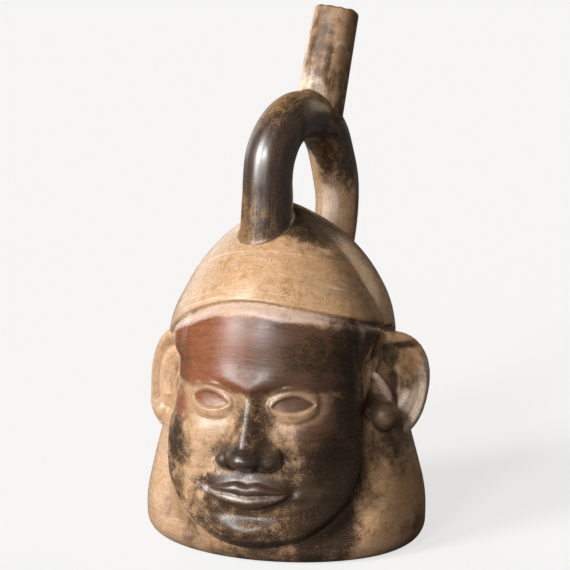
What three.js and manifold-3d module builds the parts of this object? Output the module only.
// A stirrup-spouted effigy bottle of fired clay: a head in a close cap, standing on its own flared
// neck. It is one hollow piece, open from the spout through both legs of the stirrup to the chamber.
// Millimetres, +Z up, the face towards -Y, and +X on the head's own left.
// The origin is on the underside, at the middle of the rectangle that the whole bottle fills.

import * as THREE from "three";
import { mergeVertices } from "three/addons/utils/BufferGeometryUtils.js";
import Module from "manifold-3d";

const { degToRad } = THREE.MathUtils;

// ---- Driving dimensions ----

const WALL = 6; // thickness of the pressed body wall
const TUBE_WALL = 4.6; // thickness of the rolled tubes
const FLOOR = 7; // thickness of the flat base

// Body: at each height, the half-width and the half-depths in front of and behind the head's axis.
const STATIONS = [
  { z: 0, side: 76.5, front: 60, back: 64 },
  { z: 10, side: 77.5, front: 62, back: 66.5 },
  { z: 24, side: 77, front: 61, back: 66.5 },
  { z: 42, side: 73, front: 57, back: 64 },
  { z: 60, side: 68, front: 55.5, back: 62 },
  { z: 80, side: 62.5, front: 57, back: 61.5 },
  { z: 96, side: 59, front: 58.5, back: 60.5 },
  { z: 110, side: 57.4, front: 58.5, back: 59.5 },
];
const EDGE = { radius: 9, share: 0.75 }; // rounding where the wall turns under to the base

// Crown: it closes from its foot to the apex along a softened arch.
const CROWN = { foot: 110, apex: 182.3, rise: 1.9, width: 1.31 };

// Cap: a step in the surface that sweeps down from the brow to the ears and on to the nape.
const CAP = { front: 138.3, side: 121, nape: 96, step: 2, groove: 0.8, rowsFrom: 84 };

// Hair: a short lock hangs from the cap in front of each ear.
const LOCK = { angle: degToRad(59), halfWidth: degToRad(6), foot: 105, height: 1.7 };

// Face: the usual thirds between hairline and chin, and a head five eyes wide.
const HAIRLINE = 138;
const CHIN = 13;
const THIRD = (HAIRLINE - CHIN) / 3;
const BROW = HAIRLINE - THIRD;
const NOSE = CHIN + THIRD;
const EYE = { z: BROW - 9.5, width: 22 };
const MOUTH = { z: NOSE - THIRD / 3, halfWidth: 20 };
const FACE_PROFILE = [
  { z: 0, depth: 56, side: 66 },
  { z: CHIN + 3, depth: 66, side: 70 },
  { z: CHIN + 22, depth: 66.5, side: 72 },
  { z: MOUTH.z + 4, depth: 66.5, side: 71 },
  { z: NOSE + 12, depth: 65.5, side: 66 },
  { z: EYE.z, depth: 64, side: 62 },
  { z: BROW + 8, depth: 62.5, side: 61 },
  { z: CAP.front, depth: 60, side: 60 },
];
const FACE_RADIUS = 62; // distances across the face are measured on a cylinder this size

// The face is a raised oval: an ellipse from the cheekbones down, wider and open above them.
const OVAL = { z: 66, halfWidth: 57, drop: 54, widening: 0.75 };
const THROAT = { depth: 4, out: 1.5, width: 0.32 }; // hollow of the neck just outside the oval

// Ears: cupped discs half sunk in the head, the head's right one set a little lower.
const EAR = { root: 60, y: -7, halfWidth: 22.5, rim: 4.6, hollow: 8, swing: degToRad(30) };
const EAR_SIDES = [
  { side: -1, z: 79.5, halfHeight: 29.5, plug: { x: 64, y: -12, z: 66.5, radius: 7.8 } },
  { side: 1, z: 87.5, halfHeight: 29, plug: { x: 60.5, y: -12, z: 74, radius: 7.8 } },
];

// Stirrup and spout, drawn in an upright plane through the head's axis: p runs backwards in it.
const STIRRUP_TURN = degToRad(18); // of that plane from the head's own midline
const ARCH = { p: 13.2, z: 195.2, radius: 31.3 };
const FRONT_FOOT = 150; // height of the front leg's end, inside the chamber
const REAR_KNEE = { p: 50, z: 177 };
const REAR_FOOT = { p: 38, z: 122 };
const TUBE_RADIUS = { front: 13.3, top: 12.8, rear: 11.4 };
const SPOUT = { p: 28, z: 216, lean: degToRad(18), length: 67.7, foot: 13.6, lip: 12.3, round: 1.6 };

// Faceting: rows and columns of each skin, and sides of each tube.
const OUTSIDE = { rowStep: 3.3, crownRows: 7, columns: 58 };
const INSIDE = { rowStep: 12, crownRows: 5, columns: 26 };
const TUBE = { sides: 14, arcSteps: 7, boreSides: 8 };
const TIP = 0.4; // the last row stops this far short of an apex

// ---- Helpers ----

const clamp01 = (t) => Math.min(1, Math.max(0, t));
const mix = (a, b, t) => a + (b - a) * t;
const hill = (v, width) => Math.exp(-((v / width) ** 2));

function smooth(lo, hi, v) {
  const t = clamp01((v - lo) / (hi - lo));
  return t * t * (3 - 2 * t);
}

// A smooth function of height through one named value of a list of stations.
function through(stations, name) {
  const top = stations.length - 1;
  const slope = (i) => {
    const [a, b] = [stations[Math.max(0, i - 1)], stations[Math.min(top, i + 1)]];
    return (b[name] - a[name]) / (b.z - a.z);
  };
  return (z) => {
    let i = 0;
    while (i < top - 1 && z > stations[i + 1].z) i += 1;
    const [a, b] = [stations[i], stations[i + 1]];
    const span = b.z - a.z;
    const t = clamp01((z - a.z) / span);
    const bend = t * (1 - t) * span;
    const line = mix(a[name], b[name], t * t * (3 - 2 * t));
    return line + bend * ((1 - t) * slope(i) - t * slope(i + 1));
  };
}

// Radius of an ellipse in the direction of an angle measured from the front.
const ellipse = (angle, side, depth) =>
  1 / Math.hypot(Math.sin(angle) / side, Math.cos(angle) / depth);

// ---- Body wall ----

const sideAt = through(STATIONS, "side");
const frontAt = through(STATIONS, "front");
const backAt = through(STATIONS, "back");

// How far the crown is still open at a height: 1 at its foot, 0 at the apex.
function crownShare(z) {
  const climb = clamp01((z - CROWN.foot) / (CROWN.apex - CROWN.foot));
  return (1 - climb ** CROWN.rise) ** (1 / CROWN.width);
}

// The wall turns under in a quarter round near the base.
function edgeInset(z) {
  const down = clamp01(1 - z / EDGE.radius);
  return EDGE.radius * EDGE.share * (1 - Math.sqrt(1 - down * down));
}

function wallRadius(angle, z) {
  const level = Math.min(z, CROWN.foot);
  const depth = Math.cos(angle) > 0 ? frontAt(level) : backAt(level);
  return ellipse(angle, sideAt(level), depth) * crownShare(z) - edgeInset(z);
}

// ---- Face: each feature adds its height at u across and z up ----

function eye(u, z) {
  const out = Math.abs(u) - EYE.width;
  const across = out / (EYE.width / 2);
  const up = z - EYE.z;
  const open = Math.sqrt(Math.max(0, 1 - across * across));
  const socket = -4.4 * hill(out + 1, 13) * hill(up - 1, 9);
  const ball = 3.8 * hill(across, 0.8) * hill(up - 0.4, 4.6);
  const upperLid = 2 * hill(up - 5.4 * open - 0.9, 1.9);
  const lowerLid = 1.5 * hill(up + 3.8 * open + 0.9, 1.8);
  return socket + ball + (upperLid + lowerLid) * smooth(1.25, 0.8, Math.abs(across));
}

function brow(u, z) {
  const line = BROW + 1.5 - 3 * ((Math.abs(u) - 16) / 20) ** 2;
  return 2.4 * hill(z - line, 5) * smooth(42, 26, Math.abs(u));
}

function nose(u, z) {
  const top = EYE.z + 5;
  const down = clamp01((top - z) / (top - NOSE - 5));
  const rise = mix(2.2, 15.5, down ** 1.25);
  const halfWidth = mix(6.5, 9.8, down ** 1.5);
  const bridge = rise * hill(u, halfWidth) * smooth(NOSE - 1.5, NOSE + 4, z);
  const wings = 6 * hill(Math.abs(u) - 10, 4.4) * hill(z - NOSE - 5, 4.6);
  return bridge * smooth(top + 9, top - 3, z) + wings;
}

function mouth(u, z) {
  const up = z - MOUTH.z;
  const full = Math.sqrt(Math.max(0, 1 - (u / MOUTH.halfWidth) ** 2));
  const muzzle = 2.6 * hill(u, 20) * hill(up - 1, 13);
  const upper = 3.4 * full * hill(up - 4, 3);
  const lower = 3.9 * full * hill(up + 4.4, 3.4);
  const line = -2 * hill(up, 1.5) * smooth(MOUTH.halfWidth + 3, MOUTH.halfWidth - 3, Math.abs(u));
  const underLip = -2 * hill(u, 13) * hill(up + 12, 4);
  return muzzle + upper + lower + line + underLip;
}

function flesh(u, z) {
  const cheek = 3.4 * hill(Math.abs(u) - 33, 13) * hill(z - NOSE - 13, 13);
  const chin = 3.6 * hill(u, 13) * hill(z - CHIN - 7, 7);
  const temple = -1.5 * hill(Math.abs(u) - 50, 9) * hill(z - BROW - 2, 14);
  return cheek + chin + temple;
}

// 1 on the border of the face's oval, less inside it and more outside.
function ovalAt(u, z) {
  const below = Math.max(0, OVAL.z - z) / OVAL.drop;
  const across = u / (OVAL.halfWidth + OVAL.widening * Math.max(0, z - OVAL.z));
  return across * across + below * below;
}

const faceSideAt = through(FACE_PROFILE, "side");
const faceDepthAt = through(FACE_PROFILE, "depth");

// How much of the raised face there is at a point: all of it inside the oval, none under the cap.
function faceShare(angle, z) {
  const inside = smooth(1.22, 0.86, ovalAt(angle * FACE_RADIUS, z));
  return inside * smooth(CAP.front + 1, BROW + 4, z) * smooth(1.5, 1.25, Math.abs(angle));
}

// The plain mass of the neck and head, without features.
function headForm(angle, z) {
  const wall = wallRadius(angle, z);
  if (Math.cos(angle) <= 0) return wall;
  const raised = ellipse(angle, faceSideAt(z), faceDepthAt(z)) - wall;
  const ring = hill(ovalAt(angle * FACE_RADIUS, z) - THROAT.out, THROAT.width);
  const throat = THROAT.depth * ring * smooth(OVAL.z + 12, OVAL.z - 10, z) * smooth(4, 18, z);
  return wall + raised * faceShare(angle, z) - throat;
}

function face(angle, z) {
  const u = angle * FACE_RADIUS;
  const features = eye(u, z) + brow(u, z) + nose(u, z) + mouth(u, z) + flesh(u, z);
  const fade = smooth(CAP.front + 1, CAP.front - 10, z) * smooth(1.45, 1.05, Math.abs(angle));
  return features * fade * (0.4 + 0.6 * Math.cos(angle));
}

// ---- Cap and locks ----

function capLine(angle) {
  const turn = Math.abs(angle);
  const sweep = mix(CAP.front, CAP.side, smooth(0.2, 1.3, turn));
  return mix(sweep, CAP.nape, smooth(1.5, 2.5, turn));
}

function cap(angle, z) {
  const up = z - capLine(angle);
  return CAP.step * smooth(-1, 1, up) - CAP.groove * hill(up + 2, 1.6);
}

function lock(angle, z) {
  const aside = (Math.abs(angle) - LOCK.angle) / LOCK.halfWidth;
  const long = smooth(LOCK.foot - 2, LOCK.foot + 2, z) * smooth(2, -2, z - capLine(angle));
  return LOCK.height * hill(aside, 1) * long;
}

// ---- Outer surface of the body, and the chamber inside it ----

function bodyRadius(angle, z) {
  const fade = smooth(CROWN.apex, CROWN.apex - 20, z);
  return headForm(angle, z) + face(angle, z) + (cap(angle, z) + lock(angle, z)) * fade;
}

// The chamber follows the plain form, a wall's thickness in from it at the sides and the top.
function chamberRadius(angle, z) {
  const level = mix(FLOOR, CROWN.apex, (z - FLOOR) / (CROWN.apex - WALL - FLOOR));
  return headForm(angle, level) - WALL * crownShare(level);
}

// ---- Skins round the vertical axis ----

const evenly = (j, columns) => (2 * Math.PI * j) / columns - Math.PI;

// Columns crowd together at the front, where the face is.
function crowded(j, columns) {
  const s = (2 * j) / columns - 1;
  return Math.PI * (0.52 * s + 0.48 * s ** 3);
}

// Even rows from one level to another, without the last.
function evenLevels(from, to, step) {
  const count = Math.round((to - from) / step);
  return Array.from({ length: count }, (_, i) => mix(from, to, i / count));
}

// Rows that close up towards the top of a crown.
const closingLevels = (from, to, count) =>
  Array.from({ length: count + 1 }, (_, i) => mix(from, to, Math.sin((i / count) * Math.PI * 0.5)));

// The outer rows bend with the cap: the level of its front edge follows that edge all round.
function bentHeight(level, angle) {
  const { front, rowsFrom } = CAP;
  if (level <= rowsFrom) return level;
  const edge = capLine(angle);
  if (level <= front) return mix(rowsFrom, edge, (level - rowsFrom) / (front - rowsFrom));
  return mix(edge, CROWN.apex, (level - front) / (CROWN.apex - front));
}

// Turns rings of points, each of the same count, into a closed skin with a pole at each end.
// The rings run upwards, and each goes round anticlockwise as seen from above.
function closeRings(rings, lowPole, highPole) {
  const count = rings[0].length;
  const points = rings.flat();
  const low = points.push(lowPole) - 1;
  const high = points.push(highPole) - 1;
  const last = (rings.length - 1) * count;
  const faces = [];
  for (let j = 0; j < count; j += 1) {
    const k = (j + 1) % count;
    for (let i = 0; i < last; i += count) {
      faces.push(i + j, i + k, i + count + k, i + j, i + count + k, i + count + j);
    }
    faces.push(low, k, j, high, last + j, last + k);
  }
  const geometry = new THREE.BufferGeometry().setFromPoints(points);
  return geometry.setIndex(faces);
}

function skin(levels, columns, radiusAt, angleAt, heightAt) {
  const ring = (level) =>
    Array.from({ length: columns }, (_, j) => {
      const angle = angleAt(j, columns);
      const z = heightAt(level, angle);
      const r = radiusAt(angle, z);
      return new THREE.Vector3(r * Math.sin(angle), -r * Math.cos(angle), z);
    });
  const [low, high] = [levels[0], levels[levels.length - 1]];
  return closeRings(levels.map(ring), new THREE.Vector3(0, 0, low), new THREE.Vector3(0, 0, high));
}

function bodySkin() {
  const { rowStep, crownRows, columns } = OUTSIDE;
  const turnedUnder = [0, 1.2, 3.6];
  const sides = evenLevels(6.7, CAP.front - 4, rowStep);
  const capEdge = [CAP.front - 4, CAP.front - 2, CAP.front - 1];
  const crown = closingLevels(CAP.front + 1, CROWN.apex - TIP, crownRows);
  return skin([...turnedUnder, ...sides, ...capEdge, ...crown], columns, bodyRadius, crowded, bentHeight);
}

function chamberSkin() {
  const { rowStep, crownRows, columns } = INSIDE;
  const sides = evenLevels(FLOOR, CAP.front, rowStep);
  const crown = closingLevels(CAP.front, CROWN.apex - WALL - TIP, crownRows);
  return skin([...sides, ...crown], columns, chamberRadius, evenly, (level) => level);
}

// ---- Stirrup and spout ----

const inPlane = (p, z) =>
  new THREE.Vector3(p * Math.sin(STIRRUP_TURN), p * Math.cos(STIRRUP_TURN), z);

function stirrupPath() {
  const front = ARCH.p - ARCH.radius;
  const points = [inPlane(front, FRONT_FOOT), inPlane(front, ARCH.z - 8)];
  for (let i = 0; i <= TUBE.arcSteps; i += 1) {
    const turn = mix(Math.PI, 0.3, i / TUBE.arcSteps);
    const [out, up] = [ARCH.radius * Math.cos(turn), ARCH.radius * Math.sin(turn)];
    points.push(inPlane(ARCH.p + out, ARCH.z + up));
  }
  points.push(inPlane(REAR_KNEE.p, REAR_KNEE.z), inPlane(REAR_FOOT.p, REAR_FOOT.z));
  const curve = new THREE.CatmullRomCurve3(points, false, "centripetal");
  return curve.getSpacedPoints(TUBE.arcSteps * 3);
}

// The spout's axis, from a share of its length past the foot to a share of it at the lip.
function spoutPath(shares) {
  const lean = inPlane(Math.sin(SPOUT.lean), Math.cos(SPOUT.lean));
  const foot = inPlane(SPOUT.p, SPOUT.z);
  return shares.map((share) => foot.clone().addScaledVector(lean, share * SPOUT.length));
}

const legRadius = (share) =>
  share < 0.5
    ? mix(TUBE_RADIUS.front, TUBE_RADIUS.top, share * 2)
    : mix(TUBE_RADIUS.top, TUBE_RADIUS.rear, share * 2 - 1);
const spoutRadius = (share) =>
  mix(SPOUT.foot, SPOUT.lip, share) - SPOUT.round * smooth(0.96, 1, share);

// A round bar along a path in the stirrup's plane, its radius given for each share of the way.
function bar(path, shares, radiusAt, sides) {
  const across = new THREE.Vector3(Math.cos(STIRRUP_TURN), -Math.sin(STIRRUP_TURN), 0);
  const last = path.length - 1;
  const ring = (centre, i) => {
    const along = new THREE.Vector3().subVectors(path[Math.min(last, i + 1)], path[Math.max(0, i - 1)]);
    const out = new THREE.Vector3().crossVectors(along.normalize(), across);
    return Array.from({ length: sides }, (_, j) => {
      const turn = (2 * Math.PI * j) / sides;
      const r = radiusAt(shares[i]);
      return centre
        .clone()
        .addScaledVector(across, r * Math.cos(turn))
        .addScaledVector(out, r * Math.sin(turn));
    });
  };
  return closeRings(path.map(ring), path[0], path[last]);
}

function stirrupBar(lessWall, sides) {
  const path = stirrupPath();
  const shares = path.map((_, i) => i / (path.length - 1));
  return bar(path, shares, (share) => legRadius(share) - lessWall, sides);
}

function spoutBar() {
  const shares = [0, 0.3, 0.6, 0.96, 1];
  return bar(spoutPath(shares), shares, spoutRadius, TUBE.sides);
}

function spoutBore() {
  const shares = [0, 0.5, 1.1];
  const radius = (share) => mix(SPOUT.foot, SPOUT.lip, share) - TUBE_WALL;
  return bar(spoutPath(shares), shares, radius, TUBE.boreSides);
}

// ---- Ears ----

function ball(columns, rows) {
  const sphere = new THREE.SphereGeometry(1, columns, rows);
  sphere.deleteAttribute("normal");
  sphere.deleteAttribute("uv");
  return mergeVertices(sphere, 1e-5);
}

// A thick disc, cupped towards the front and outwards, with a rolled rim and a bulging back.
function ear({ side, z, halfHeight }) {
  const geometry = ball(18, 12);
  const position = geometry.getAttribute("position");
  const [along, facing] = [Math.cos(EAR.swing), Math.sin(EAR.swing)];
  for (let i = 0; i < position.count; i += 1) {
    const [w, h, t] = [position.getX(i), position.getY(i), position.getZ(i)];
    const cup = EAR.hollow * hill(Math.hypot(w, h), 0.66) * (t > 0 ? 1 : 0.5);
    const out = w * EAR.halfWidth * (1 + 0.14 * h);
    const thick = t * EAR.rim - cup;
    const x = EAR.root + out * along + thick * facing;
    const y = EAR.y + out * facing - thick * along;
    position.setXYZ(i, side * x, y, z + h * halfHeight);
  }
  if (side < 0) geometry.index.array.reverse();
  return geometry;
}

function earPlug({ side, plug }) {
  const { x, y, z, radius } = plug;
  return ball(12, 8).scale(radius, radius, radius).translate(side * x, y, z);
}

// ---- Joining and cutting ----

const wasm = await Module();
wasm.setup();

function solid(geometry) {
  const merged = mergeVertices(geometry, 1e-4);
  return new wasm.Manifold(
    new wasm.Mesh({
      numProp: 3,
      vertProperties: new Float32Array(merged.getAttribute("position").array),
      triVerts: new Uint32Array(merged.index.array),
    }),
  );
}

function geometryOf(manifold) {
  const { vertProperties, triVerts } = manifold.getMesh();
  const geometry = new THREE.BufferGeometry();
  geometry.setAttribute("position", new THREE.BufferAttribute(vertProperties, 3));
  return geometry.setIndex(new THREE.BufferAttribute(triVerts, 1));
}

function hollowVessel() {
  const added = [stirrupBar(0, TUBE.sides), spoutBar()];
  EAR_SIDES.forEach((one) => added.push(ear(one), earPlug(one)));
  const bores = [stirrupBar(TUBE_WALL, TUBE.boreSides), spoutBore()];
  const outside = added.reduce((whole, piece) => whole.add(solid(piece)), solid(bodySkin()));
  const inside = bores.reduce((whole, piece) => whole.add(solid(piece)), solid(chamberSkin()));
  return geometryOf(outside.subtract(inside));
}

// ---- The vessel ----

const clay = new THREE.MeshStandardMaterial({ color: 0xb07c4e, roughness: 0.45, metalness: 0 });
const vessel = new THREE.Mesh(hollowVessel(), clay);
vessel.name = "vessel";

const middle = new THREE.Box3().setFromObject(vessel).getCenter(new THREE.Vector3());
vessel.position.set(-middle.x, -middle.y, 0);

const root = new THREE.Group();
root.add(vessel);
export default root;
